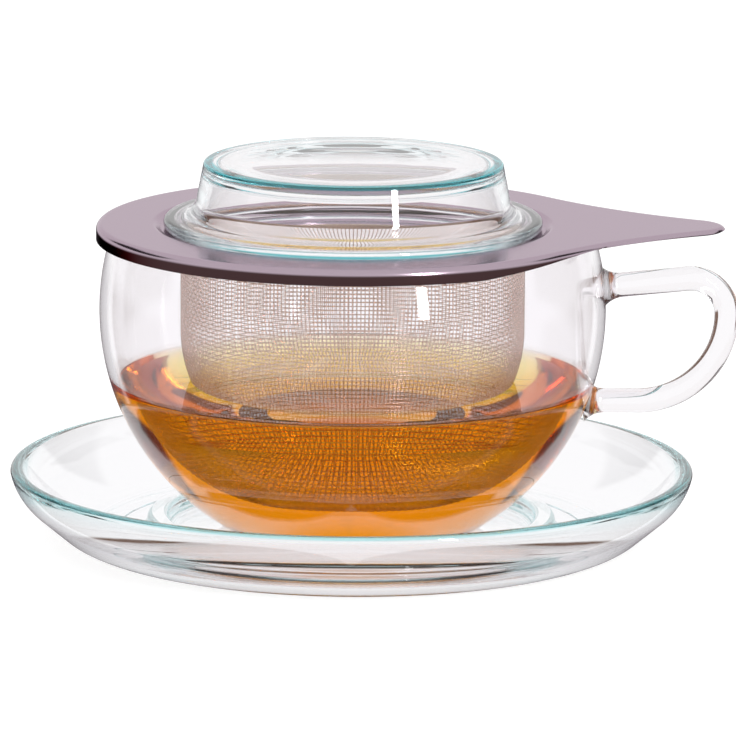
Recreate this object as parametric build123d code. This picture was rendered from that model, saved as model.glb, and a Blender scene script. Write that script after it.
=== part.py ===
"""Glass tea cup on a glass saucer, with a lift-out steel infuser and a lift-off glass lid.

Millimetres, +Z up.  The origin is the centre of the saucer's foot, on the table.  The cup's
handle and the infuser's leaf-shaped handle both point along +X.
"""
import os
from math import cos, radians, sin, sqrt, tan

from build123d import *

full_round = 0.48  # of a thickness, where both edges of a rim are rounded until they meet

# Saucer: pressed glass, one wall thickness all over, with a rib that keeps the cup central
saucer_radius = 80.0
saucer_height = 17.8
saucer_floor = 3.0  # thickness of the glass under the cup
saucer_wall = 3.3  # thickness of the flank
saucer_lip = 2.6  # thickness at the rim
flank_angle = 40.0  # slope of the flank, degrees from the table
flank_run = 15.0  # the line of the flank would meet the table this far inside the rim
toe_round = 13.0  # curve from the foot up into the flank
crease_drop = 6.9  # rim down to the crease inside, where the flank turns up
turn_up_drop = 9.4  # rim down to where the flank turns up outside
foot_ring_width = 10.0
foot_kick = 0.6  # the middle of the underside stands this far off the table
rib_clearance = 14.5  # from the edge of the cup's foot to the rib
rib_width = 5.8
rib_height = 3.6
rib_round = 1.3
rib_root_round = 1.0

# Cup: a blown sphere of glass cut off by a flat foot and a ground mouth
bowl_radius = 59.2
bowl_wall = 1.8
cup_foot_radius = 28.0
cup_height = 71.7
base_thickness = 3.0
foot_edge_round = 5.0
inside_floor_round = 9.0
mouth_round = 0.6
punt_radius = 20.0  # the hollow pushed up under the base
punt_depth = 0.9

# Cup handle: a drawn glass rod whose two ends are flared and fused to the bowl
rod_radius = 2.85
handle_reach = 87.5  # cup axis to the middle of the rod where it stands furthest out
upper_arm_height = 57.9  # above the cup's foot, where it leaves the bowl
upper_arm_rise = 2.9  # rise of the upper arm from the bowl to its corner
lower_arm_height = 30.7
handle_top_bend = 8.4
handle_bottom_bend = 20.8
seal_radius = 4.3
seal_length = 4.0

# Infuser plate: one pressed stainless sheet that hangs on the cup's mouth
sheet = 0.8
skirt_clearance = 2.4  # between the bowl and the lower edge of the skirt
skirt_depth = 3.7
plate_edge_bend = 0.7  # inside radius of the fold between the plate and its skirt
leaf_length = 27.0  # from the round of the plate to the end of the leaf
leaf_tip_radius = 9.0
leaf_waist_radius = 110.0
taper_length = 28.0  # the skirt narrows to nothing over this length along +X
taper_end_inset = 2.0  # and has run out this far short of the plate's radius
recess_clearance = 7.37  # between the cup's mouth and the recess that hangs in it
recess_floor_width = 4.55  # the flat that the lid stands on
recess_depth = 1.2
recess_slant = 1.7
press_bend = 0.5  # inside radius of each bend that is pressed in the plate
collar_depth = 3.4  # recess floor down to the edge of the collar

# Basket: woven stainless mesh drawn to a cup, with its edge clamped inside the collar
basket_depth = 55.5  # plate down to the bottom of the mesh
basket_floor_radius = 10.3  # the flat in the middle of the bottom
mesh_thickness = 0.5
weld_gap = 0.05  # between the collar, the mesh and the ring, where they are spot welded
ring_thickness = 0.4
ring_height = 3.4
ring_edge_round = 0.3  # on the upper edge inside, where leaves are tipped out

# Lid: pressed glass, hollow underneath, with a flange that drops into the plate's recess
lid_height = 16.2
flange_width = 6.9  # how far the flange stands out from the foot of the lid's wall
lid_flare = 2.5  # the wall is this much wider at its foot than at the top
lid_wall = 2.6
lid_top_thickness = 3.0
lid_shoulder_width = 6.4  # the top falls a little from here out to the wall
lid_shoulder_drop = 0.5
lid_shoulder_round = 60.0
lid_edge_round = 1.6
lid_foot_round = 5.0  # curve from the wall out onto the flange
flange_thickness = 2.8
flange_clearance = 0.6  # between the flange and the foot of the recess's slant
flange_seat_width = 2.2

# Places that follow from the sizes above
flank_start_radius = saucer_radius - flank_run
foot_ring_inner_radius = flank_start_radius - foot_ring_width
rib_radius = cup_foot_radius + rib_clearance + rib_width / 2
cup_foot_z = saucer_floor
mouth_z = cup_foot_z + cup_height
bowl_centre_z = cup_foot_z + sqrt(bowl_radius**2 - cup_foot_radius**2)
plate_top_z = mouth_z + sheet
skirt_edge_z = plate_top_z - skirt_depth
bowl_radius_at_skirt = sqrt(bowl_radius**2 - (skirt_edge_z - bowl_centre_z) ** 2)
plate_radius = bowl_radius_at_skirt + skirt_clearance + sheet
leaf_tip_centre = plate_radius + leaf_length - leaf_tip_radius
recess_z = plate_top_z - recess_depth
collar_edge_z = recess_z - collar_depth
mouth_inner_radius = sqrt((bowl_radius - bowl_wall) ** 2 - (mouth_z - bowl_centre_z) ** 2)
recess_radius = mouth_inner_radius - recess_clearance
collar_radius = recess_radius - recess_slant - recess_floor_width
basket_radius = collar_radius - weld_gap
basket_round = basket_radius - basket_floor_radius
flange_radius = recess_radius - recess_slant - flange_clearance
mesh_edge_z = recess_z - press_bend - sheet  # the mesh stops where the collar starts to bend
recess_margin = press_bend + sheet  # flat sheet round the recess before the plate proper


def section(corners):
    """Half section in the XZ plane from (radius, height, rounding) corners."""
    points = [(r, z) for r, z, _ in corners]
    return make_face(FilletPolyline(*points, radius=[c[2] for c in corners], close=True))


def turned(half_section):
    """Solid made by turning a half section about the Z axis."""
    return revolve(Plane.XZ * half_section, Axis.Z)


def ball_slice(radius, centre_z, low_z, high_z):
    """Half section of a ball on the Z axis, kept between two heights."""
    band = Pos(radius, (low_z + high_z) / 2) * Rectangle(2 * radius, high_z - low_z)
    return (Pos(0, centre_z) * Circle(radius)) & band


def rounded_at(half_section, r, z, radius):
    """The half section with the corner nearest (r, z) rounded."""
    corner = half_section.vertices().sort_by_distance((r, z, 0))[0]
    return fillet(corner, radius)


# --- saucer ---------------------------------------------------------------------------------


def saucer_outer_flank_radius(z):
    """Radius of the sloping outside of the saucer at a height."""
    return flank_start_radius + z / tan(radians(flank_angle))


def saucer_inner_flank_radius(z):
    """Radius of the sloping inside of the saucer at a height."""
    return saucer_outer_flank_radius(z) - saucer_wall / sin(radians(flank_angle))


def saucer_section():
    """Flat floor, sloping flank, and a rim that turns up from a crease inside."""
    turn_z = saucer_height - turn_up_drop
    turn = Vector(saucer_outer_flank_radius(turn_z), turn_z)
    crease_z = saucer_height - crease_drop
    crease = Vector(saucer_inner_flank_radius(crease_z), crease_z)
    lip_start = Vector(saucer_radius, saucer_height - saucer_lip / 2)
    lip_outer = Vector(saucer_radius, saucer_height)
    lip_inner = Vector(saucer_radius - saucer_lip, saucer_height)
    floor_edge = Vector(saucer_inner_flank_radius(saucer_floor), saucer_floor)
    flank_direction = (cos(radians(flank_angle)), sin(radians(flank_angle)))
    kick_edge = foot_ring_inner_radius - foot_kick
    outline = [
        Polyline((0, foot_kick), (kick_edge, foot_kick), (foot_ring_inner_radius, 0)),
        Line((foot_ring_inner_radius, 0), (flank_start_radius, 0)),
        Line((flank_start_radius, 0), turn),
        TangentArc(turn, lip_start, tangent=flank_direction),
        Polyline(lip_start, lip_outer, lip_inner, crease, floor_edge, (0, saucer_floor)),
        Line((0, saucer_floor), (0, foot_kick)),
    ]
    face = make_face(Curve() + outline)
    face = rounded_at(face, flank_start_radius, 0, toe_round)
    face = rounded_at(face, floor_edge.X, floor_edge.Y, toe_round - saucer_wall)
    face = rounded_at(face, lip_outer.X, lip_outer.Y, full_round * saucer_lip)
    return rounded_at(face, lip_inner.X, lip_inner.Y, full_round * saucer_lip)


def rib_section():
    """The low rib that stands on the saucer's floor around the cup's foot."""
    foot_half = rib_width / 2
    top_half = foot_half - rib_round / 2
    top_z = saucer_floor + rib_height
    return section(
        [
            (rib_radius - foot_half, foot_kick, 0),
            (rib_radius + foot_half, foot_kick, 0),
            (rib_radius + foot_half, saucer_floor, 0),
            (rib_radius + top_half, top_z, rib_round),
            (rib_radius - top_half, top_z, rib_round),
            (rib_radius - foot_half, saucer_floor, 0),
        ]
    )


def make_saucer():
    """The dish and its rib, pressed as one piece of glass."""
    face = saucer_section() + rib_section()
    for side in (-1, 1):
        face = rounded_at(face, rib_radius + side * rib_width / 2, saucer_floor, rib_root_round)
    return turned(face)


# --- cup ------------------------------------------------------------------------------------


def bowl_radius_at(z):
    """Outside radius of the bowl at a height."""
    return sqrt(bowl_radius**2 - (z - bowl_centre_z) ** 2)


def make_cup_bowl():
    """The blown bowl, with its ground mouth, thick base and pushed-up punt."""
    inner_radius = bowl_radius - bowl_wall
    floor_z = cup_foot_z + base_thickness
    inner_floor_radius = sqrt(inner_radius**2 - (floor_z - bowl_centre_z) ** 2)
    outside = ball_slice(bowl_radius, bowl_centre_z, cup_foot_z, mouth_z)
    outside = rounded_at(outside, cup_foot_radius, cup_foot_z, foot_edge_round)
    inside = ball_slice(inner_radius, bowl_centre_z, floor_z, mouth_z)
    inside = rounded_at(inside, inner_floor_radius, floor_z, inside_floor_round)
    wall = outside - inside
    wall = rounded_at(wall, bowl_radius_at(mouth_z), mouth_z, mouth_round)
    wall = rounded_at(wall, mouth_inner_radius, mouth_z, mouth_round)
    punt_ball = (punt_radius**2 + punt_depth**2) / (2 * punt_depth)
    punt_centre_z = cup_foot_z + punt_depth - punt_ball
    punt = ball_slice(punt_ball, punt_centre_z, cup_foot_z, cup_foot_z + punt_depth)
    return turned(wall - punt)


def flared_end(seat, direction):
    """Trumpet end of the rod: full width at the bowl, blending into the rod further out."""
    flare = TangentArc((rod_radius, seal_length), (seal_radius, 0), tangent=(0, -1))
    edge = Polyline(
        (seal_radius, 0),
        (seal_radius, -seal_radius),
        (0, -seal_radius),
        (0, seal_length),
        (rod_radius, seal_length),
    )
    trumpet = revolve(Plane.XZ * make_face(flare + edge), Axis.Z)
    return Plane(origin=seat, z_dir=direction) * trumpet


def make_cup_handle():
    """The bent glass rod with its flared ends, trimmed to the round of the bowl."""
    upper_z = cup_foot_z + upper_arm_height
    lower_z = cup_foot_z + lower_arm_height
    upper_seat = Vector(bowl_radius_at(upper_z), 0, upper_z)
    lower_seat = Vector(bowl_radius_at(lower_z), 0, lower_z)
    upper_corner = Vector(handle_reach, 0, upper_z + upper_arm_rise)
    lower_corner = Vector(handle_reach, 0, lower_z)
    upper_direction = (upper_corner - upper_seat).normalized()
    lower_direction = (lower_corner - lower_seat).normalized()
    lower_run = lower_corner.X - lower_seat.X - seal_length
    outer_run = upper_corner.Z - lower_corner.Z - handle_top_bend * sqrt(2)
    path = FilletPolyline(
        upper_seat + upper_direction * seal_length,
        upper_corner,
        lower_corner,
        lower_seat + lower_direction * seal_length,
        radius=[handle_top_bend, min(handle_bottom_bend, lower_run, outer_run)],
    )
    rod = sweep(Plane(origin=path @ 0, z_dir=path % 0) * Circle(rod_radius), path)
    ends = flared_end(upper_seat, upper_direction) + flared_end(lower_seat, lower_direction)
    bowl_ball = Pos(0, 0, bowl_centre_z) * Sphere(bowl_radius)
    return (rod + ends) - bowl_ball


# --- infuser --------------------------------------------------------------------------------


def plate_outline(inset):
    """Round plate drawn out into a leaf-shaped handle along +X, inset all round."""
    radius = plate_radius - inset
    tip_radius = leaf_tip_radius - inset
    waist_radius = leaf_waist_radius + inset
    tip = Vector(leaf_tip_centre, 0)
    to_waist = radius + waist_radius
    tip_to_waist = tip_radius + waist_radius
    waist_x = (to_waist**2 - tip_to_waist**2 + leaf_tip_centre**2) / (2 * leaf_tip_centre)
    waist = Vector(waist_x, sqrt(to_waist**2 - waist_x**2))
    shoulder = waist * (radius / to_waist)
    neck = tip + (waist - tip) * (tip_radius / tip_to_waist)
    inward = ((shoulder - waist) + (neck - waist)).normalized()
    middle = waist + inward * waist_radius
    mirrored = [Vector(p.X, -p.Y) for p in (shoulder, middle, neck)]
    edges = [
        ThreePointArc(shoulder, (-radius, 0), mirrored[0]),
        ThreePointArc(mirrored[0], mirrored[1], mirrored[2]),
        ThreePointArc(mirrored[2], tip + Vector(tip_radius, 0), neck),
        ThreePointArc(neck, middle, shoulder),
    ]
    return make_face(Curve() + edges)


def plate_block(inset, top_z, depth, fold_radius):
    """Block in the outline of the plate, with its top edge folded over to a radius."""
    block = Pos(0, 0, top_z - depth) * extrude(plate_outline(inset), depth)
    return fillet(block.faces().sort_by(Axis.Z)[-1].edges(), fold_radius)


def pressed_ring():
    """Recess, seat and drawn collar in the middle of the plate, as one strip of sheet."""
    upper_face = FilletPolyline(
        (recess_radius + recess_margin, plate_top_z),
        (recess_radius, plate_top_z),
        (recess_radius - recess_slant, recess_z),
        (collar_radius, recess_z),
        (collar_radius, collar_edge_z),
        radius=[press_bend + sheet, press_bend, press_bend + sheet],
    )
    return turned(make_face(upper_face.offset_2d(sheet, side=Side.LEFT)))


def make_infuser_plate():
    """Plate, leaf handle and skirt, with the skirt cut back along the leaf."""
    underside_z = plate_top_z - sheet
    outer_fold = plate_edge_bend + sheet
    outer = plate_block(0, plate_top_z, skirt_depth, outer_fold)
    inner = plate_block(sheet, underside_z, skirt_depth, plate_edge_bend)
    leaf_end = plate_radius + leaf_length
    taper_end = plate_radius - taper_end_inset
    taper_start = taper_end - taper_length
    wedge = Polyline(
        (taper_start, skirt_edge_z),
        (taper_end, underside_z),
        (leaf_end + sheet, underside_z),
        (leaf_end + sheet, skirt_edge_z - sheet),
        (taper_start, skirt_edge_z - sheet),
        close=True,
    )
    taper = extrude(Plane.XZ * make_face(wedge), plate_radius, both=True)
    hole = Pos(0, 0, plate_top_z) * Cylinder(recess_radius + recess_margin, 2 * skirt_depth)
    return (outer - inner - taper - hole) + pressed_ring()


def basket_form(inset):
    """Half section of the drawn basket's form, inset by part of its thickness."""
    bottom_z = plate_top_z - basket_depth
    radius = basket_radius - inset
    return section(
        [
            (0, bottom_z + inset, 0),
            (radius, bottom_z + inset, basket_round - inset),
            (radius, mesh_edge_z, 0),
            (0, mesh_edge_z, 0),
        ]
    )


def make_mesh_basket():
    """The woven mesh as a thin wall: a straight cup with a deep round corner."""
    return turned(basket_form(0) - basket_form(mesh_thickness))


def make_clamp_ring():
    """The thin ring inside the collar that holds the cut edge of the mesh."""
    outer_radius = basket_radius - mesh_thickness - weld_gap
    inner_radius = outer_radius - ring_thickness
    low_z = mesh_edge_z - ring_height
    return turned(
        section(
            [
                (inner_radius, low_z, 0),
                (outer_radius, low_z, 0),
                (outer_radius, mesh_edge_z, 0),
                (inner_radius, mesh_edge_z, ring_edge_round),
            ]
        )
    )


# --- lid ------------------------------------------------------------------------------------


def make_glass_lid():
    """The hollow lid: flat top, flared wall, and a round-edged flange that seats flat."""
    lid_foot_radius = flange_radius - flange_width
    lid_top_radius = lid_foot_radius - lid_flare
    seat_inner_radius = flange_radius - flange_thickness / 2 - flange_seat_width
    top_z = recess_z + lid_height
    flange_top_z = recess_z + flange_thickness
    flange_round = full_round * flange_thickness
    blend = lid_wall - lid_edge_round / 2
    return turned(
        section(
            [
                (0, top_z, 0),
                (lid_top_radius - lid_shoulder_width, top_z, lid_shoulder_round),
                (lid_top_radius, top_z - lid_shoulder_drop, lid_edge_round),
                (lid_foot_radius, flange_top_z, lid_foot_round),
                (flange_radius, flange_top_z, flange_round),
                (flange_radius, recess_z, flange_round),
                (seat_inner_radius, recess_z, blend),
                (lid_foot_radius - lid_wall / 2, flange_top_z - lid_wall / 4, blend),
                (lid_top_radius - lid_wall, top_z - lid_top_thickness, lid_wall),
                (0, top_z - lid_top_thickness, 0),
            ]
        )
    )


makers = {
    "saucer": make_saucer,
    "cup_bowl": make_cup_bowl,
    "cup_handle": make_cup_handle,
    "infuser_plate": make_infuser_plate,
    "mesh_basket": make_mesh_basket,
    "mesh_clamp_ring": make_clamp_ring,
    "glass_lid": make_glass_lid,
}

os.makedirs("parts", exist_ok=True)
for name, make in makers.items():
    export_step(make(), f"parts/{name}.step")
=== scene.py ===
"""Glass tea cup on a glass saucer, with a steel infuser and a glass lid, half filled with tea.

Metres, +Z up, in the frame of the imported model.  The file follows the set as it is put
together: saucer, cup, tea, infuser, lid, and then the table, the light and the camera.
"""
from math import atan2, ceil, cos, pi, radians, sin, sqrt, tan

import bmesh
import bpy
from mathutils import Matrix, Vector


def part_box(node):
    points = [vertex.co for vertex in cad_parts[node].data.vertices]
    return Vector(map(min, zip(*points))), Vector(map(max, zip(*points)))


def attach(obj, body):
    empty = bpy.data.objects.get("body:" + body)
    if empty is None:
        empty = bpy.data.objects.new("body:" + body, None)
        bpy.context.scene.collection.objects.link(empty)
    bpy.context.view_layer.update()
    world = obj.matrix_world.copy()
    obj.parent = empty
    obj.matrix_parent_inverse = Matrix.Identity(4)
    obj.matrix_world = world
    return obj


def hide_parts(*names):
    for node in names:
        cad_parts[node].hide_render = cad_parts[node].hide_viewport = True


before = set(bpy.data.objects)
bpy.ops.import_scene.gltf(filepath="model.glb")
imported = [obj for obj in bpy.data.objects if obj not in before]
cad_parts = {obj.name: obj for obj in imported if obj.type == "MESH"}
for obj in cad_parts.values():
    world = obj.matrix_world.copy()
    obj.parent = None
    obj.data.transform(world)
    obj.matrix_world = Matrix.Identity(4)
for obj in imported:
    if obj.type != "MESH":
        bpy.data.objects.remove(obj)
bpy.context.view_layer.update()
mm = 0.001

# --- saucer ------------------------------------------------------------------------------
# A shallow dish of clear soda-lime glass with a rib that keeps the cup central.  It is
# pressed in a mould and fire polished, so every edge is a smooth round and the thick
# parts look teal where the light runs along inside them; on the top of the rim that teal is painted
# light.
turned_steps = 240
round_segments = 10
crease_angle = radians(25)
merge_distance = 0.001 * mm
full_round = 0.48  # of a thickness, where both edges of a rim are rounded until they meet
glass_white = (0.985, 0.968, 0.985)
glass_ior = 1.5
mould_ripple = (9 * mm, 0.01 * mm)  # size and depth


def clear_glass(name, depth_tint, depth_strength, ripple_size, ripple_depth):
    """Clear glass, coloured in depth, with the faint ripple that hot forming leaves in it."""
    material = bpy.data.materials.new(name)
    material.use_nodes = True
    nodes = material.node_tree.nodes
    links = material.node_tree.links
    glass = nodes["Principled BSDF"]
    glass.inputs["Base Color"].default_value = (*glass_white, 1)
    glass.inputs["Transmission Weight"].default_value = 1
    glass.inputs["Roughness"].default_value = 0.0
    glass.inputs["IOR"].default_value = glass_ior
    depth_colour = nodes.new("ShaderNodeVolumeAbsorption")
    depth_colour.inputs["Color"].default_value = (*depth_tint, 1)
    depth_colour.inputs["Density"].default_value = depth_strength
    links.new(depth_colour.outputs["Volume"], nodes["Material Output"].inputs["Volume"])
    place = nodes.new("ShaderNodeTexCoord")
    ripple = nodes.new("ShaderNodeTexNoise")
    ripple.inputs["Scale"].default_value = 1 / ripple_size
    ripple.inputs["Detail"].default_value = 1
    links.new(place.outputs["Object"], ripple.inputs["Vector"])
    bump = nodes.new("ShaderNodeBump")
    bump.inputs["Strength"].default_value = 1
    bump.inputs["Distance"].default_value = ripple_depth
    links.new(ripple.outputs["Fac"], bump.inputs["Height"])
    links.new(bump.outputs["Normal"], glass.inputs["Normal"])
    return material


def paint_light_and_shade(material, colour, radii, heights, socket_name="Base Color"):
    """Paints a colour of light or shade in where radius and height both lie past their (start, end).
    """
    nodes = material.node_tree.nodes
    links = material.node_tree.links
    parts = nodes.new("ShaderNodeSeparateXYZ")
    links.new(nodes["Texture Coordinate"].outputs["Object"], parts.inputs["Vector"])
    flat = nodes.new("ShaderNodeCombineXYZ")
    links.new(parts.outputs["X"], flat.inputs["X"])
    links.new(parts.outputs["Y"], flat.inputs["Y"])
    radius = nodes.new("ShaderNodeVectorMath")
    radius.operation = "LENGTH"
    links.new(flat.outputs["Vector"], radius.inputs[0])
    both = nodes.new("ShaderNodeMath")
    both.operation = "MULTIPLY"
    measures = ((radius.outputs["Value"], radii), (parts.outputs["Z"], heights))
    for socket, (measure, (start, end)) in zip(both.inputs, measures):
        rise = nodes.new("ShaderNodeMapRange")
        rise.interpolation_type = "SMOOTHSTEP"
        rise.inputs["From Min"].default_value = min(start, end)
        rise.inputs["From Max"].default_value = max(start, end)
        rise.inputs["To Min"].default_value = float(start > end)
        rise.inputs["To Max"].default_value = float(start < end)
        links.new(measure, rise.inputs["Value"])
        links.new(rise.outputs["Result"], socket)
    tint = nodes.new("ShaderNodeMix")
    tint.data_type = "RGBA"
    target = nodes["Principled BSDF"].inputs[socket_name]
    tint.inputs["A"].default_value = target.default_value
    if target.links:
        links.new(target.links[0].from_socket, tint.inputs["A"])
    tint.inputs["B"].default_value = (*colour, 1)
    links.new(both.outputs["Value"], tint.inputs["Factor"])
    links.new(tint.outputs["Result"], target)


def outline(form, corners):
    """Joins (radius, height, rounding) corners into a line, with its corners rounded."""
    points = [form.verts.new((r, 0, z)) for r, z, _ in corners]
    for start, end in zip(points, points[1:]):
        form.edges.new((start, end))
    for point, (_, _, rounding) in zip(points, corners):
        if rounding:
            arms = [e.other_vert(point).co - point.co for e in point.link_edges]
            turn = pi - arms[0].angle(arms[1])
            bmesh.ops.bevel(
                form, geom=[point], offset=rounding * tan(turn / 2), offset_type="OFFSET",
                affect="VERTICES", segments=round_segments, profile=0.5, material=-1,
            )


def turned(name, form, material):
    """Turns a closed half section about the upright axis into a smooth solid piece."""
    bmesh.ops.remove_doubles(form, verts=form.verts, dist=merge_distance)
    bmesh.ops.spin(
        form, geom=form.verts[:] + form.edges[:], cent=(0, 0, 0), axis=(0, 0, 1),
        angle=2 * pi, steps=turned_steps, use_merge=True,
    )
    bmesh.ops.remove_doubles(form, verts=form.verts, dist=merge_distance)
    return finished(name, form, material)


def finished(name, form, material):
    """Makes an object of a form, with its faces outwards and shaded smooth."""
    bmesh.ops.recalc_face_normals(form, faces=form.faces)
    for face in form.faces:
        face.smooth = True
    mesh = bpy.data.meshes.new(name)
    form.to_mesh(mesh)
    form.free()
    mesh.set_sharp_from_angle(angle=crease_angle)
    mesh.materials.append(material)
    piece = bpy.data.objects.new(name, mesh)
    bpy.context.scene.collection.objects.link(piece)
    return piece


def arc(form, start, centre, end, steps):
    """Swings a new line of points from start to end about a centre, in the half section."""
    first = form.verts.new((start[0], 0, start[1]))
    from_angle = atan2(start[1] - centre[1], start[0] - centre[0])
    to_angle = atan2(end[1] - centre[1], end[0] - centre[0])
    bmesh.ops.spin(
        form, geom=[first], cent=(centre[0], 0, centre[1]), axis=(0, 1, 0),
        angle=from_angle - to_angle, steps=steps,
    )


saucer_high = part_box("saucer")[1]
saucer_radius = saucer_high[0]
saucer_height = saucer_high[2]
saucer_floor = 3.0 * mm
saucer_wall = 3.3 * mm
saucer_lip = 2.6 * mm
flank_angle = radians(40)
flank_start = saucer_radius - 15 * mm
toe_round = 13 * mm
foot_ring = flank_start - 10 * mm
foot_kick = 0.6 * mm  # the middle of the underside stands this far off the table
crease_z = saucer_height - 6.9 * mm
turn_z = saucer_height - 9.4 * mm
lip_round = full_round * saucer_lip
flank_steps = 16
cup_foot_radius = 28 * mm
rib_width = 5.8 * mm
rib_gap = 14.5 * mm  # between the cup's foot and the rib
rib_radius = cup_foot_radius + rib_gap + rib_width / 2
rib_top = saucer_floor + 3.6 * mm
rib_round = 1.3 * mm
rib_root = 1.0 * mm


def outer_flank(z):
    """Radius of the saucer's sloping outside at a height."""
    return flank_start + z / tan(flank_angle)


def inner_flank(z):
    """Radius of the saucer's sloping inside at a height."""
    return outer_flank(z) - saucer_wall / sin(flank_angle)


form = bmesh.new()
lip_start = (saucer_radius, saucer_height - saucer_lip / 2)
turn_start = (outer_flank(turn_z), turn_z)
across = Vector(lip_start) - Vector(turn_start)
square_on = Vector((-sin(flank_angle), cos(flank_angle)))
rise_radius = across.length_squared / (2 * across.dot(square_on))
rise_centre = Vector(turn_start) + square_on * rise_radius
outline(form, [
    (0, foot_kick, 0),
    (foot_ring - foot_kick, foot_kick, 0),
    (foot_ring, 0, 0),
    (flank_start, 0, toe_round),
    (*turn_start, 0),
])
arc(form, turn_start, rise_centre, lip_start, flank_steps)
outline(form, [
    (*lip_start, 0),
    (saucer_radius, saucer_height, lip_round),
    (saucer_radius - saucer_lip, saucer_height, lip_round),
    (inner_flank(crease_z), crease_z, 0),
    (inner_flank(saucer_floor), saucer_floor, toe_round - saucer_wall),
    (rib_radius + rib_width / 2, saucer_floor, rib_root),
    (rib_radius + (rib_width - rib_round) / 2, rib_top, rib_round),
    (rib_radius - (rib_width - rib_round) / 2, rib_top, rib_round),
    (rib_radius - rib_width / 2, saucer_floor, rib_root),
    (0, saucer_floor, 0),
])
saucer_glass = clear_glass("saucer_glass", (0.10, 0.72, 0.74), 4, *mould_ripple)
# A teal band of painted light on the top of the rim stands in for the light that has run along inside
# it and comes out there.
paint_light_and_shade(
    saucer_glass, (0.30, 0.74, 0.78), (saucer_radius - 1.6 * mm, saucer_radius - 1.0 * mm),
    (saucer_height - 0.9 * mm, saucer_height - 0.5 * mm),
)
saucer = turned("saucer_dish", form, saucer_glass)
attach(saucer, "saucer")
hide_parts("saucer")

# --- cup bowl ----------------------------------------------------------------------------
# A thin ball of borosilicate glass, blown in a mould, cut off and ground flat at the
# mouth.  Its base is thicker and pushed up in the middle, so that it stands on a ring.
bowl_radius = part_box("cup_bowl")[1][0]
cup_foot_z = saucer_floor
mouth_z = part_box("cup_bowl")[1][2]
bowl_wall = 1.8 * mm
base_thickness = 3.0 * mm
foot_round = 5 * mm
inside_round = 9 * mm
mouth_round = 0.6 * mm
punt_radius = 20 * mm
punt_depth = 0.9 * mm
ball_steps = 64
toe_steps = 12
bowl_centre_z = cup_foot_z + sqrt(bowl_radius**2 - cup_foot_radius**2)


def ball_radius_at(ball_radius, z):
    """Radius at a height of a ball that shares the bowl's centre."""
    return sqrt(ball_radius**2 - (z - bowl_centre_z) ** 2)


def toe_of_ball(ball_radius, floor_z, rounding):
    """Centre of the round between a ball and its flat floor, and where it meets the ball."""
    inner_radius = ball_radius - rounding
    centre = Vector((ball_radius_at(inner_radius, floor_z + rounding), floor_z + rounding))
    from_middle = centre - Vector((0, bowl_centre_z))
    return centre, Vector((0, bowl_centre_z)) + from_middle * (ball_radius / inner_radius)


form = bmesh.new()
bowl_middle = (0, bowl_centre_z)
inner_ball = bowl_radius - bowl_wall
rim_z = mouth_z - mouth_round
toe, toe_start = toe_of_ball(bowl_radius, cup_foot_z, foot_round)
heel, heel_start = toe_of_ball(inner_ball, cup_foot_z + base_thickness, inside_round)
rim_outer = (ball_radius_at(bowl_radius, rim_z), rim_z)
rim_inner = (ball_radius_at(inner_ball, rim_z), rim_z)
arc(form, rim_outer, bowl_middle, toe_start, ball_steps)
arc(form, toe_start, toe, (toe[0], cup_foot_z), toe_steps)
outline(form, [(toe[0], cup_foot_z, 0), (punt_radius, cup_foot_z, 0)])
punt_ball = (punt_radius**2 + punt_depth**2) / (2 * punt_depth)
punt_top = (0, cup_foot_z + punt_depth)
arc(form, (punt_radius, cup_foot_z), (0, punt_top[1] - punt_ball), punt_top, toe_steps)
outline(form, [
    (0, cup_foot_z + base_thickness, 0),
    (heel[0], cup_foot_z + base_thickness, 0),
])
arc(form, (heel[0], cup_foot_z + base_thickness), heel, heel_start, toe_steps)
arc(form, heel_start, bowl_middle, rim_inner, ball_steps)
outline(form, [
    (*rim_inner, 0),
    (rim_inner[0], mouth_z, 0.9 * mouth_round),
    (rim_outer[0], mouth_z, 0.9 * mouth_round),
    (*rim_outer, 0),
])
blown_ripple = (22 * mm, 0.02 * mm)
blown_glass = clear_glass("blown_glass", (0.55, 0.5, 0.6), 5, *blown_ripple)
bowl = turned("cup_bowl_glass", form, blown_glass)
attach(bowl, "cup")
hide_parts("cup_bowl")

# --- cup handle --------------------------------------------------------------------------
# A drawn rod of the same glass, bent hot to a D.  Its two ends are flared like trumpets
# and fused to the side of the bowl.
rod_radius = 2.85 * mm
handle_reach = 87.5 * mm
upper_arm_z = cup_foot_z + 57.9 * mm
upper_arm_rise = 2.9 * mm
lower_arm_z = cup_foot_z + 30.7 * mm
top_bend = 8.4 * mm
bottom_bend = 20.8 * mm
seal_radius = 4.3 * mm
seal_length = 4.0 * mm
rod_sides = 32
flare_steps = 8
bend_steps = 28


def extruded(form, ring, move):
    """Draws the ring of edges at the rod's end out by a step, and returns the new ring."""
    drawn = bmesh.ops.extrude_edge_only(form, edges=ring)["geom"]
    bmesh.ops.translate(
        form, verts=[v for v in drawn if isinstance(v, bmesh.types.BMVert)], vec=move
    )
    return [e for e in drawn if isinstance(e, bmesh.types.BMEdge)]


def widened(form, ring, centre, scale, direction):
    """Scales the ring of edges about its centre, across the direction of the rod."""
    verts = list({v for e in ring for v in e.verts})
    turn = direction.to_track_quat("Z", "Y").to_matrix().to_4x4()
    frame_there = Matrix.Translation(centre) @ turn
    for vert in verts:
        local = frame_there.inverted() @ vert.co
        vert.co = frame_there @ Vector((local.x * scale, local.y * scale, local.z))


def bent(form, ring, centre, angle, steps):
    """Swings the ring of edges about a bend, and returns the ring at the far end."""
    swung = bmesh.ops.spin(
        form, geom=ring, cent=centre, axis=(0, 1, 0), angle=angle, steps=steps
    )["geom_last"]
    return [e for e in swung if isinstance(e, bmesh.types.BMEdge)]


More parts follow.
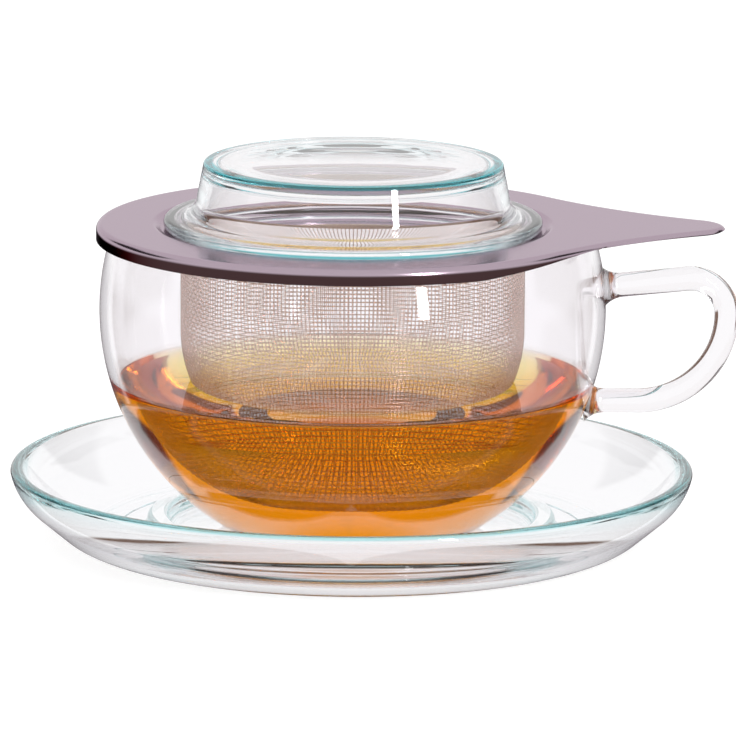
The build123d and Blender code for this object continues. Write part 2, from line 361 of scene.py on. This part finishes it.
def flare_scale(distance):
    """How much wider than the rod its trumpet end is at a distance from the bowl."""
    if distance >= seal_length:
        return 1
    sweep_radius = (seal_length**2 + (seal_radius - rod_radius) ** 2) / (
        2 * (seal_radius - rod_radius)
    )
    inward = sweep_radius - sqrt(sweep_radius**2 - (seal_length - distance) ** 2)
    return 1 + inward / rod_radius


upper_seat = Vector((ball_radius_at(bowl_radius, upper_arm_z), 0, upper_arm_z))
lower_seat = Vector((ball_radius_at(bowl_radius, lower_arm_z), 0, lower_arm_z))
upper_corner = Vector((handle_reach, 0, upper_arm_z + upper_arm_rise))
lower_corner = Vector((handle_reach, 0, lower_arm_z))
upper_way = (upper_corner - upper_seat).normalized()
down = Vector((0, 0, -1))
top_turn = upper_way.angle(down)
top_cut = top_bend * tan(top_turn / 2)
form = bmesh.new()
wall_reach = 0.5 * bowl_wall  # the rod ends this deep in the wall, where the two are fused
start = upper_seat - upper_way * wall_reach
turn = upper_way.to_track_quat("Z", "Y").to_matrix().to_4x4()
bmesh.ops.create_circle(
    form, segments=rod_sides, radius=rod_radius, cap_ends=False,
    matrix=Matrix.Translation(start) @ turn,
)
ring = form.edges[:]
widened(form, ring, start, flare_scale(-wall_reach), upper_way)
centre = start
for step in range(flare_steps):
    move = upper_way * (seal_length + wall_reach) / flare_steps
    ring = extruded(form, ring, move)
    centre = centre + move
    before = flare_scale((centre - move - upper_seat).dot(upper_way))
    after = flare_scale((centre - upper_seat).dot(upper_way))
    widened(form, ring, centre, after / before, upper_way)
upper_bend_start = upper_corner - upper_way * top_cut
ring = extruded(form, ring, upper_bend_start - centre)
upper_bend_middle = upper_corner + down * top_cut - Vector((top_bend, 0, 0))
ring = bent(form, ring, upper_bend_middle, top_turn, bend_steps)
outer_end = lower_corner - down * bottom_bend
ring = extruded(form, ring, outer_end - (upper_corner + down * top_cut))
ring = bent(form, ring, outer_end - Vector((bottom_bend, 0, 0)), pi / 2, bend_steps)
centre = lower_corner - Vector((bottom_bend, 0, 0))
back = Vector((-1, 0, 0))
flare_start = lower_seat - back * seal_length
ring = extruded(form, ring, flare_start - centre)
centre = flare_start
for step in range(flare_steps):
    move = back * (seal_length + wall_reach) / flare_steps
    ring = extruded(form, ring, move)
    centre = centre + move
    before = flare_scale((lower_seat - centre + move).dot(back))
    after = flare_scale((lower_seat - centre).dot(back))
    widened(form, ring, centre, after / before, back)
bmesh.ops.holes_fill(form, edges=[e for e in form.edges if e.is_boundary], sides=0)
handle = finished("cup_handle_rod", form, blown_glass)
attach(handle, "cup")
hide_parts("cup_handle")

# --- tea ---------------------------------------------------------------------------------
# Black tea, poured to just over the bottom of the infuser.  It wets the glass, so its
# outside lies a hair inside the wall's own surface, and its edge climbs the wall a little.
tea_level = 38.2 * mm
tea_into_glass = 0.15 * mm
meniscus = 1.5 * mm
meniscus_width = 2.2 * meniscus
knee_inset = 0.35 * meniscus
knee_height = 0.3 * meniscus
tea_steps = 48
tea_ior = 1.33
tea_ball = inner_ball + tea_into_glass
tea_floor = cup_foot_z + base_thickness - tea_into_glass
form = bmesh.new()
heel, heel_start = toe_of_ball(tea_ball, tea_floor, inside_round)
tea_edge = (ball_radius_at(tea_ball, tea_level + meniscus), tea_level + meniscus)
outline(form, [(0, tea_floor, 0), (heel[0], tea_floor, 0)])
arc(form, (heel[0], tea_floor), heel, heel_start, toe_steps)
arc(form, heel_start, bowl_middle, tea_edge, tea_steps)
outline(form, [
    (*tea_edge, 0),
    (tea_edge[0] - knee_inset, tea_level + knee_height, 0.5 * meniscus),
    (tea_edge[0] - meniscus_width, tea_level, meniscus),
    (0, tea_level, 0),
])
brew = bpy.data.materials.new("brewed_tea")
brew.use_nodes = True
nodes = brew.node_tree.nodes
links = brew.node_tree.links
liquid = nodes["Principled BSDF"]
liquid.inputs["Base Color"].default_value = (1, 1, 1, 1)
liquid.inputs["Transmission Weight"].default_value = 1
liquid.inputs["Roughness"].default_value = 0.0
liquid.inputs["IOR"].default_value = tea_ior
strength = nodes.new("ShaderNodeVolumeAbsorption")
strength.inputs["Color"].default_value = (0.993, 0.885, 0.02, 1)
strength.inputs["Density"].default_value = 120
links.new(strength.outputs["Volume"], nodes["Material Output"].inputs["Volume"])
place = nodes.new("ShaderNodeTexCoord")
swell = nodes.new("ShaderNodeTexNoise")
swell.inputs["Scale"].default_value = 1 / (14 * mm)
swell.inputs["Detail"].default_value = 0
links.new(place.outputs["Object"], swell.inputs["Vector"])
bump = nodes.new("ShaderNodeBump")
bump.inputs["Strength"].default_value = 1
bump.inputs["Distance"].default_value = 0.01 * mm
links.new(swell.outputs["Fac"], bump.inputs["Height"])
links.new(bump.outputs["Normal"], liquid.inputs["Normal"])
tea = turned("tea", form, brew)
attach(tea, "cup")

# --- infuser plate -----------------------------------------------------------------------
# One pressed stainless sheet: a round plate drawn out into a leaf-shaped handle, a folded
# skirt that runs out along the leaf, and in the middle the lid's recess and a drawn collar.
# It is satin brushed along the leaf.
sheet = 0.8 * mm
plate_top = mouth_z + sheet
skirt_depth = 3.7 * mm
fold_inside = 0.7 * mm
skirt_clearance = 2.4 * mm
skirt_edge_z = plate_top - skirt_depth
plate_radius = ball_radius_at(bowl_radius, skirt_edge_z) + skirt_clearance + sheet
leaf_length = 27 * mm
leaf_tip_radius = 9 * mm
leaf_tip_x = plate_radius + leaf_length - leaf_tip_radius
waist_radius = 110 * mm
taper_end = plate_radius - 2 * mm
taper_start = taper_end - 28 * mm
recess_clearance = 7.37 * mm
recess_slant = 1.7 * mm
recess_depth = 1.2 * mm
recess_floor_width = 4.55 * mm
recess_radius = ball_radius_at(inner_ball, mouth_z) - recess_clearance
recess_z = plate_top - recess_depth
press_bend = 0.5 * mm
collar_depth = 3.4 * mm
collar_radius = recess_radius - recess_slant - recess_floor_width
collar_edge = recess_z - collar_depth
ring_margin = recess_radius + press_bend + sheet
fold_segments = 8
plate_steps = 200
waist_steps = 40
tip_steps = 24
grain_depth = 0.01 * mm
polish_spread = 0.06


def satin_steel(name, colour, dark_colour, roughness, brush_length, brush_width):
    """Stainless steel with a fine brushed grain that runs along X."""
    material = bpy.data.materials.new(name)
    material.use_nodes = True
    nodes = material.node_tree.nodes
    links = material.node_tree.links
    steel = nodes["Principled BSDF"]
    steel.inputs["Metallic"].default_value = 1
    place = nodes.new("ShaderNodeTexCoord")
    stretch = nodes.new("ShaderNodeMapping")
    stretch.inputs["Scale"].default_value = (1 / brush_length, 1 / brush_width, 1 / brush_width)
    links.new(place.outputs["Object"], stretch.inputs["Vector"])
    grain = nodes.new("ShaderNodeTexNoise")
    grain.inputs["Scale"].default_value = 1
    grain.inputs["Detail"].default_value = 4
    links.new(stretch.outputs["Vector"], grain.inputs["Vector"])
    tint = nodes.new("ShaderNodeMix")
    tint.data_type = "RGBA"
    tint.inputs["A"].default_value = (*dark_colour, 1)
    tint.inputs["B"].default_value = (*colour, 1)
    links.new(grain.outputs["Fac"], tint.inputs["Factor"])
    links.new(tint.outputs["Result"], steel.inputs["Base Color"])
    polish = nodes.new("ShaderNodeMapRange")
    polish.inputs["To Min"].default_value = roughness - polish_spread
    polish.inputs["To Max"].default_value = roughness + polish_spread
    links.new(grain.outputs["Fac"], polish.inputs["Value"])
    links.new(polish.outputs["Result"], steel.inputs["Roughness"])
    bump = nodes.new("ShaderNodeBump")
    bump.inputs["Strength"].default_value = 0.5
    bump.inputs["Distance"].default_value = grain_depth
    links.new(grain.outputs["Fac"], bump.inputs["Height"])
    links.new(bump.outputs["Normal"], steel.inputs["Normal"])
    return material


def thick_sheet(name, form, thickness, material):
    """Makes an object of an open sheet's outer face, thickened inwards."""
    for face in form.faces:
        face.smooth = True
    outer_face = bpy.data.meshes.new(name)
    form.to_mesh(outer_face)
    form.free()
    piece = bpy.data.objects.new(name, outer_face)
    bpy.context.scene.collection.objects.link(piece)
    solid = piece.modifiers.new("thickness", "SOLIDIFY")
    solid.thickness = thickness
    solid.offset = -1
    bpy.context.view_layer.update()
    mesh = bpy.data.meshes.new_from_object(piece.evaluated_get(bpy.context.evaluated_depsgraph_get()))
    piece.modifiers.clear()
    piece.data = mesh
    mesh.set_sharp_from_angle(angle=crease_angle)
    mesh.materials.append(material)
    return piece


def leaf_outline(form, inset, z):
    """Points of the plate and its leaf at a height, inset all round, as a loop of four arcs.

    The waist is the centre of the hollow arc between the round of the plate and the tip.
    """
    radius = plate_radius - inset
    tip_radius = leaf_tip_radius - inset
    hollow = waist_radius + inset
    far = radius + hollow
    near = tip_radius + hollow
    waist_x = (far**2 - near**2 + leaf_tip_x**2) / (2 * leaf_tip_x)
    waist = Vector((waist_x, sqrt(far**2 - waist_x**2), z))
    other_waist = Vector((waist.x, -waist.y, z))
    middle = Vector((0, 0, z))
    tip = Vector((leaf_tip_x, 0, z))
    shoulder = middle + (waist - middle) * (radius / far)
    neck = tip + (waist - tip) * (tip_radius / near)
    start = len(form.verts)
    point = form.verts.new(shoulder)
    shoulder_angle = atan2(shoulder.y, shoulder.x)
    neck_angle = atan2(neck.y, neck.x - leaf_tip_x)
    hollow_angle = (shoulder - waist).angle(neck - waist)
    swings = (
        (middle, 2 * pi - 2 * shoulder_angle, plate_steps),
        (other_waist, -hollow_angle, waist_steps),
        (tip, 2 * neck_angle, tip_steps),
        (waist, -hollow_angle, waist_steps),
    )
    for centre, angle, steps in swings:
        bmesh.ops.spin(
            form, geom=[point], cent=centre, axis=(0, 0, 1), angle=angle, steps=steps
        )
        form.verts.ensure_lookup_table()
        point = form.verts[-1]
    form.verts.ensure_lookup_table()
    loop = form.verts[start:]
    bmesh.ops.pointmerge(form, verts=[loop[0], loop[-1]], merge_co=shoulder)
    return [v for v in loop if v.is_valid]


def loop_edges(form, verts):
    """The edges that join a set of points."""
    inside = set(verts)
    return [e for e in form.edges if e.verts[0] in inside and e.verts[1] in inside]


fold_outside = fold_inside + sheet
fold_centre_z = plate_top - fold_outside
levels = [(0, skirt_edge_z), (0, fold_centre_z)]
for step in range(1, fold_segments + 1):
    turn = pi / 2 * step / fold_segments
    levels.append((fold_outside * (1 - cos(turn)), fold_centre_z + fold_outside * sin(turn)))
levels.append((fold_outside + sheet, plate_top))
form = bmesh.new()
loops = [leaf_outline(form, inset, z) for inset, z in levels]
for lower, upper in zip(loops, loops[1:]):
    for step in range(len(lower)):
        form.faces.new((lower[step - 1], lower[step], upper[step], upper[step - 1]))
outline(form, [
    (ring_margin, plate_top, 0),
    (recess_radius, plate_top, press_bend + sheet),
    (recess_radius - recess_slant, recess_z, press_bend),
    (collar_radius, recess_z, press_bend + sheet),
    (collar_radius, collar_edge, 0),
])
pressed = [v for v in form.verts if not v.link_faces]
pressed_edges = loop_edges(form, pressed)
bmesh.ops.spin(
    form, geom=pressed + pressed_edges, cent=(0, 0, 0), axis=(0, 0, 1),
    angle=2 * pi, steps=len(loops[0]), use_merge=True,
)
flat_edges = [
    e for e in form.edges
    if e.is_boundary and min(v.co.z for v in e.verts) > plate_top - 10 * merge_distance
]
bmesh.ops.triangle_fill(form, edges=flat_edges, use_beauty=True)
bmesh.ops.bisect_plane(
    form, geom=form.verts[:] + form.edges[:] + form.faces[:], dist=merge_distance,
    plane_co=(taper_end, 0, 0), plane_no=(1, 0, 0),
)
slope = Vector((skirt_depth - sheet, 0, -(taper_end - taper_start)))
for on_leaf, plane_normal in ((False, slope), (True, Vector((0, 0, -1)))):
    faces = [f for f in form.faces if (f.calc_center_median().x > taper_end) == on_leaf]
    parts = {v for f in faces for v in f.verts} | {e for f in faces for e in f.edges}
    bmesh.ops.bisect_plane(
        form, geom=list(parts) + faces, dist=merge_distance,
        plane_co=(taper_end, 0, plate_top - sheet), plane_no=plane_normal, clear_outer=True,
    )
bmesh.ops.remove_doubles(form, verts=form.verts, dist=5 * merge_distance)
bmesh.ops.recalc_face_normals(form, faces=form.faces)
if sum(f.normal.z for f in form.faces) < 0:
    bmesh.ops.reverse_faces(form, faces=form.faces)
steel_sheet = satin_steel(
    "brushed_sheet", (0.47, 0.375, 0.44), (0.40, 0.315, 0.375), 0.17, 14 * mm, 0.12 * mm
)
edge_tint = steel_sheet.node_tree.nodes["Principled BSDF"].inputs["Specular Tint"]
edge_tint.default_value = (0.8, 0.74, 0.78, 1)
# Painted shade: the outside of the skirt is painted darker than the brushed top, in its colour and in
# the tint of its reflection.
skirt_shade_radii = (ring_margin + 2 * mm, ring_margin + 4 * mm)
skirt_shade_heights = (fold_centre_z + 0.4 * mm, fold_centre_z - 0.2 * mm)
paint_light_and_shade(steel_sheet, (0.06, 0.032, 0.034), skirt_shade_radii, skirt_shade_heights)
paint_light_and_shade(steel_sheet, (0.1, 0.1, 0.1), skirt_shade_radii, skirt_shade_heights, "Specular Tint")
plate = thick_sheet("infuser_plate_sheet", form, sheet, steel_sheet)
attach(plate, "infuser")
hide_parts("infuser_plate")

# --- mesh basket -------------------------------------------------------------------------
# Plain-woven stainless wire cloth, drawn to a deep round-bottomed cup.  The wires of the
# wall run on across the bottom, and the rings are the wires that cross them.
wire_radius = 0.115 * mm
weave_rise = 0.12 * mm
weld_gap = 0.05 * mm  # between the collar, the cloth and the clamp ring
basket_radius = collar_radius - weld_gap
basket_depth = 55.5 * mm
cloth_thickness = 0.5 * mm
half_cloth = cloth_thickness / 2
mesh_top_z = recess_z - press_bend - sheet
mesh_bottom_z = plate_top - basket_depth
mesh_radius = basket_radius - half_cloth
mesh_round = 29.75 * mm
half_side = 32  # wires of each set on each side of the middle of the square bottom cloth
cap_reach = 35.7 * mm  # from the middle out to where the rings begin
ring_pitch = 0.98 * mm
flat_radius = mesh_radius - mesh_round
corner_end = flat_radius + mesh_round * pi / 2
wall_height = mesh_top_z - mesh_bottom_z - mesh_round - half_cloth
wall_rings = ceil((corner_end + wall_height - cap_reach) / ring_pitch)


def cloth_point(reach, angle, lift):
    """Place of a wire that has run a given way out from the middle of the bottom."""
    if reach < flat_radius:
        radius, z, out, up = reach, 0, 0, -1
    elif reach < corner_end:
        turn = (reach - flat_radius) / mesh_round
        out, up = sin(turn), -cos(turn)
        radius = flat_radius + mesh_round * out
        z = mesh_round * (1 + up)
    else:
        radius, z, out, up = mesh_radius, mesh_round + reach - corner_end, 1, 0
    radius += lift * out
    z += mesh_bottom_z + half_cloth + lift * up
    return (radius * cos(angle), radius * sin(angle), z)


def cap_node(a, b):
    """Way out and angle of the crossing of wires a and b in the square bottom cloth."""
    u, v = a / half_side, b / half_side
    x, y = u * sqrt(1 - v * v / 2), v * sqrt(1 - u * u / 2)
    return cap_reach * sqrt(x * x + y * y), atan2(y, x)


def wall_node(a, b, ring):
    """Way out and angle of a wall crossing, above the edge crossing a, b of the bottom."""
    edge_angle = cap_node(a, b)[1]
    quarter = pi / 4 * (b / a if abs(a) >= abs(b) else -a / b)
    side = (0 if a > 0 else pi) if abs(a) >= abs(b) else (pi / 2 if b > 0 else -pi / 2)
    even_angle = side + quarter
    if even_angle - edge_angle > pi:
        even_angle -= 2 * pi
    settle = min(ring * ring_pitch / (corner_end - cap_reach), 1)
    settle = settle * settle * (3 - 2 * settle)
    reach = cap_reach + (corner_end + wall_height - cap_reach) * ring / wall_rings
    return reach, edge_angle + (even_angle - edge_angle) * settle


def lifted(node, over):
    """The place of a crossing, with its wire passing over or under."""
    return cloth_point(*node, weave_rise if over else -weave_rise)


def wire_cloth(name, wires, closed, material):
    """Makes one set of wires, each a line of points, into thin round wire."""
    line = bpy.data.curves.new(name, "CURVE")
    line.dimensions = "3D"
    line.bevel_depth = wire_radius
    line.bevel_resolution = 0
    line.use_fill_caps = True
    for wire in wires:
        spline = line.splines.new("POLY")
        spline.points.add(len(wire) - 1)
        spline.points.foreach_set("co", [c for point in wire for c in (*point, 1)])
        spline.use_cyclic_u = closed
    source = bpy.data.objects.new(name + "_line", line)
    bpy.context.scene.collection.objects.link(source)
    bpy.context.view_layer.update()
    mesh = bpy.data.meshes.new_from_object(source.evaluated_get(bpy.context.evaluated_depsgraph_get()))
    bpy.data.objects.remove(source)
    mesh.materials.clear()
    mesh.materials.append(material)
    mesh.polygons.foreach_set("use_smooth", [True] * len(mesh.polygons))
    piece = bpy.data.objects.new(name, mesh)
    bpy.context.scene.collection.objects.link(piece)
    return piece


def long_wire(a_or_b, along_x):
    """One wire from the rim down across the bottom and up to the rim again."""
    line = []
    for ring in range(wall_rings, 0, -1):
        a, b = (-half_side, a_or_b) if along_x else (a_or_b, -half_side)
        line.append(lifted(wall_node(a, b, ring), (a + b + ring) % 2 == along_x))
    for step in range(-half_side, half_side + 1):
        a, b = (step, a_or_b) if along_x else (a_or_b, step)
        line.append(lifted(cap_node(a, b), (a + b) % 2 == along_x))
    for ring in range(1, wall_rings + 1):
        a, b = (half_side, a_or_b) if along_x else (a_or_b, half_side)
        line.append(lifted(wall_node(a, b, ring), (a + b + ring) % 2 == along_x))
    return line


wire_steel = satin_steel(
    "bright_wire", (0.96, 0.80, 0.73), (0.82, 0.66, 0.59), 0.22, 3 * mm, 3 * mm
)
edge_nodes = (
    [(half_side, b) for b in range(-half_side, half_side)]
    + [(a, half_side) for a in range(half_side, -half_side, -1)]
    + [(-half_side, b) for b in range(half_side, -half_side, -1)]
    + [(a, -half_side) for a in range(-half_side, half_side)]
)
warp = [long_wire(b, True) for b in range(1 - half_side, half_side)]
weft = [long_wire(a, False) for a in range(1 - half_side, half_side)]
rings = [
    [
        lifted(wall_node(a, b, ring), (a + b + ring) % 2 == (abs(a) < abs(b)))
        for a, b in edge_nodes
    ]
    for ring in range(wall_rings + 1)
]
for name, wires, closed in (
    ("mesh_warp_wires", warp, False),
    ("mesh_weft_wires", weft, False),
    ("mesh_ring_wires", rings, True),
):
    piece = wire_cloth(name, wires, closed, wire_steel)
    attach(piece, "infuser")
    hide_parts("mesh_basket")

# --- clamp ring --------------------------------------------------------------------------
# A thin stainless ring inside the collar.  The cut edge of the cloth lies between the two,
# and all three are spot welded together.
ring_steel = satin_steel(
    "ring_steel", (0.50, 0.36, 0.28), (0.36, 0.25, 0.19), 0.34, 2 * mm, 0.3 * mm
)
ring_thickness = 0.4 * mm
ring_height = 3.4 * mm
ring_top_round = 0.3 * mm
ring_bottom_round = 0.1 * mm
ring_outer = basket_radius - cloth_thickness - weld_gap
form = bmesh.new()
ring_middle = (ring_outer - ring_thickness, mesh_top_z - 0.5 * ring_height, 0)
outline(form, [
    ring_middle,
    (ring_outer - ring_thickness, mesh_top_z - ring_height, ring_bottom_round),
    (ring_outer, mesh_top_z - ring_height, 0),
    (ring_outer, mesh_top_z, 0),
    (ring_outer - ring_thickness, mesh_top_z, ring_top_round),
    ring_middle,
])
clamp = turned("clamp_ring_band", form, ring_steel)
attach(clamp, "infuser")
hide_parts("mesh_clamp_ring")

# --- lid ---------------------------------------------------------------------------------
# Pressed soda-lime glass, hollow underneath, with a round-edged flange that lies in the
# recess of the plate.  Its top falls a little at the edge, and its wall flares below.
lid_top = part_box("glass_lid")[1][2]
flange_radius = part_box("glass_lid")[1][0]
flange_width = 6.9 * mm
lid_flare = 2.5 * mm
lid_foot_radius = flange_radius - flange_width
lid_top_radius = lid_foot_radius - lid_flare
lid_wall = 2.6 * mm
lid_top_thickness = 3.0 * mm
shoulder_width = 6.4 * mm
shoulder_drop = 0.5 * mm
shoulder_round = 60 * mm
foot_blend = 5 * mm
lid_edge = 0.8 * mm
flange_thickness = 2.8 * mm
flange_round = full_round * flange_thickness
flange_top = recess_z + flange_thickness
seat_width = 2.2 * mm
seat_inner = flange_radius - flange_thickness / 2 - seat_width
inside_blend = 1.8 * mm
form = bmesh.new()
outline(form, [
    (0, lid_top, 0),
    (lid_top_radius - shoulder_width, lid_top, shoulder_round),
    (lid_top_radius, lid_top - shoulder_drop, lid_edge),
    (lid_foot_radius, flange_top, foot_blend),
    (flange_radius, flange_top, flange_round),
    (flange_radius, recess_z, flange_round),
    (seat_inner, recess_z, inside_blend),
    (lid_foot_radius - lid_wall / 2, flange_top - lid_wall / 4, inside_blend),
    (lid_top_radius - lid_wall, lid_top - lid_top_thickness, lid_wall),
    (0, lid_top - lid_top_thickness, 0),
])
lid_glass = clear_glass("lid_glass", (0.10, 0.72, 0.74), 3, *mould_ripple)
# A dark teal band of painted light and shade on the upper edge stands in for the light that has run
# along inside the top and comes out there.
edge_z = lid_top - shoulder_drop
paint_light_and_shade(
    lid_glass, (0.01, 0.30, 0.36), (lid_top_radius - 2.6 * mm, lid_top_radius - 1.8 * mm),
    (edge_z - 0.9 * mm, edge_z - 0.6 * mm),
)
lid = turned("lid_glass", form, lid_glass)
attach(lid, "lid")
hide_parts("glass_lid")

# --- table, light and camera -------------------------------------------------------------
# A plain white table, a pale surround that is darker in places so that the glass has
# edges, and one narrow upright softbox in front on the right.
table_radius = 12
table_grey = 0.4
table_glow = 0.78
painted_glow_middle = (0, -18 * mm, 0)
painted_glow_core = 13 * mm
painted_glow_radius = 24 * mm
table_form = bmesh.new()
bmesh.ops.create_circle(table_form, segments=96, radius=table_radius, cap_ends=True)
table_mesh = bpy.data.meshes.new("table")
table_form.to_mesh(table_mesh)
table_form.free()
table = bpy.data.objects.new("table", table_mesh)
bpy.context.scene.collection.objects.link(table)
table_white = bpy.data.materials.new("table_white")
table_white.use_nodes = True
# The camera sees white.  All other rays pass through to the white surround, but for a
# painted amber glow on the table under the cup, which stands in for the light the tea throws there.
nodes = table_white.node_tree.nodes
links = table_white.node_tree.links
nodes.remove(nodes["Principled BSDF"])
path = nodes.new("ShaderNodeLightPath")
clear = nodes.new("ShaderNodeBsdfTransparent")
painted_glow = nodes.new("ShaderNodeEmission")
painted_glow.inputs["Color"].default_value = (0.62, 0.27, 0.02, 1)
place = nodes.new("ShaderNodeTexCoord")
spread = nodes.new("ShaderNodeVectorMath")
spread.operation = "DISTANCE"
spread.inputs[1].default_value = painted_glow_middle
links.new(place.outputs["Object"], spread.inputs[0])
fade = nodes.new("ShaderNodeMapRange")
fade.interpolation_type = "SMOOTHSTEP"
fade.inputs["From Min"].default_value = painted_glow_radius
fade.inputs["From Max"].default_value = painted_glow_core
links.new(spread.outputs["Value"], fade.inputs["Value"])
unseen = nodes.new("ShaderNodeMixShader")
links.new(fade.outputs["Result"], unseen.inputs["Fac"])
links.new(clear.outputs["BSDF"], unseen.inputs[1])
links.new(painted_glow.outputs["Emission"], unseen.inputs[2])
pale = nodes.new("ShaderNodeBsdfDiffuse")
pale.inputs["Color"].default_value = (table_grey, table_grey, table_grey, 1)
glow = nodes.new("ShaderNodeEmission")
glow.inputs["Color"].default_value = (1, 1, 1, 1)
glow.inputs["Strength"].default_value = table_glow
lit = nodes.new("ShaderNodeAddShader")
links.new(pale.outputs["BSDF"], lit.inputs[0])
links.new(glow.outputs["Emission"], lit.inputs[1])
switch = nodes.new("ShaderNodeMixShader")
links.new(path.outputs["Is Camera Ray"], switch.inputs["Fac"])
links.new(unseen.outputs["Shader"], switch.inputs[1])
links.new(lit.outputs["Shader"], switch.inputs[2])
links.new(switch.outputs["Shader"], nodes["Material Output"].inputs["Surface"])
table_mesh.materials.append(table_white)

world = bpy.data.worlds.new("surround")
bpy.context.scene.world = world
world.use_nodes = True
nodes = world.node_tree.nodes
links = world.node_tree.links
way = nodes.new("ShaderNodeTexCoord")
split = nodes.new("ShaderNodeSeparateXYZ")
links.new(way.outputs["Generated"], split.inputs["Vector"])


def world_sum(operation, first, second):
    """A maths node in the world, fed by two sockets or numbers."""
    node = nodes.new("ShaderNodeMath")
    node.operation = operation
    for socket, value in zip(node.inputs, (first, second)):
        if isinstance(value, (int, float)):
            socket.default_value = value
        else:
            links.new(value, socket)
    return node.outputs["Value"]


def world_step(value, low, high):
    """Rises smoothly from 0 at low to 1 at high."""
    node = nodes.new("ShaderNodeMapRange")
    node.interpolation_type = "SMOOTHSTEP"
    node.inputs["From Min"].default_value = low
    node.inputs["From Max"].default_value = high
    links.new(value, node.inputs["Value"])
    return node.outputs["Result"]


# Away is 1 straight behind the set, 0 square to its side and -1 straight in front.  The
# steps that follow share the white surround out by that and by height, z.
y, z = split.outputs["Y"], split.outputs["Z"]
over_one = 1.0001  # keeps the flat length off zero straight up and straight down
flat = world_sum("SQRT", world_sum("SUBTRACT", over_one, world_sum("MULTIPLY", z, z)), 0)
away = world_sum("DIVIDE", y, flat)
past_side = world_step(away, 0.06, 0.20)
near = world_sum("SUBTRACT", 1, past_side)
beside = world_sum("SUBTRACT", past_side, world_step(away, 0.79, 0.83))
high = world_sum("SUBTRACT", world_step(z, 0.21, 0.25), world_step(z, 0.50, 0.56))
low = world_sum("SUBTRACT", 1, world_step(z, -0.14, -0.04))
near_low = world_sum("SUBTRACT", 1, world_step(z, -0.42, -0.32))
# Level rays that an outer surface mirrors see white, and dark only where they graze it.
path = nodes.new("ShaderNodeLightPath")
mirrored = world_sum("SUBTRACT", 1, path.outputs["Is Transmission Ray"])
edge_on = world_sum("MULTIPLY", mirrored, world_step(away, 0.82, 0.88))
level = world_sum("MULTIPLY", mirrored, world_step(z, -0.34, -0.28))
below = world_sum("MULTIPLY", low, world_sum("SUBTRACT", 1, level))
shades = (
    (world_sum("MULTIPLY", near, near_low), (0.34, 0.17, 0.08)),
    (world_sum("MULTIPLY", beside, below), (0.13, 0.06, 0.03)),
    (world_sum("MULTIPLY", beside, high), (0.02, 0.012, 0.016)),
    (world_sum("MULTIPLY", edge_on, low), (0.12, 0.095, 0.11)),
)
surround_colour = nodes["Background"].inputs["Color"]
nodes["Background"].inputs["Strength"].default_value = 1.0
surround_colour.default_value = (1, 1, 1, 1)
for part, colour in shades:
    shade = nodes.new("ShaderNodeMix")
    shade.data_type = "RGBA"
    shade.inputs["A"].default_value = surround_colour.default_value
    if surround_colour.links:
        links.new(surround_colour.links[0].from_socket, shade.inputs["A"])
    shade.inputs["B"].default_value = (*colour, 1)
    links.new(part, shade.inputs["Factor"])
    links.new(shade.outputs["Result"], surround_colour)

softbox_width = 0.03
softbox_height = 0.16
softbox_power = 0.7
softbox = bpy.data.lights.new("softbox", "AREA")
softbox.shape = "RECTANGLE"
softbox.size = softbox_width
softbox.size_y = softbox_height
softbox.energy = softbox_power
softbox_lamp = bpy.data.objects.new("softbox", softbox)
bpy.context.scene.collection.objects.link(softbox_lamp)
softbox_place = Vector((0.20, -0.34, 0.17))
softbox_aim = Vector((0, 0, 0.06))
softbox_lamp.location = softbox_place
softbox_way = softbox_aim - softbox_place
softbox_lamp.rotation_euler = softbox_way.to_track_quat("-Z", "Y").to_euler()
softbox_lamp.visible_camera = False

focal_length = 417.7  # in mm, on a sensor 36 mm wide
elevation = radians(11.32)
roll = radians(0.4)
camera_distance = 2.0
camera_aim = Vector((3.7 * mm, 0, 41 * mm))
camera_data = bpy.data.cameras.new("camera")
camera_data.lens = focal_length
camera_data.sensor_width = 36
camera_data.clip_end = 100
camera = bpy.data.objects.new("camera", camera_data)
bpy.context.scene.collection.objects.link(camera)
camera.location = camera_aim + camera_distance * Vector((0, -cos(elevation), sin(elevation)))
tilt = Matrix.Rotation(pi / 2 - elevation, 3, "X") @ Matrix.Rotation(roll, 3, "Z")
camera.rotation_euler = tilt.to_euler()
bpy.context.scene.camera = camera
bpy.context.scene.view_settings.view_transform = "Standard"
# Light runs on for long inside the thick rims, and they turn black where it is cut short.
light_bounces = 32
for kind in ("max_bounces", "glossy_bounces", "transmission_bounces"):
    setattr(bpy.context.scene.cycles, kind, light_bounces)
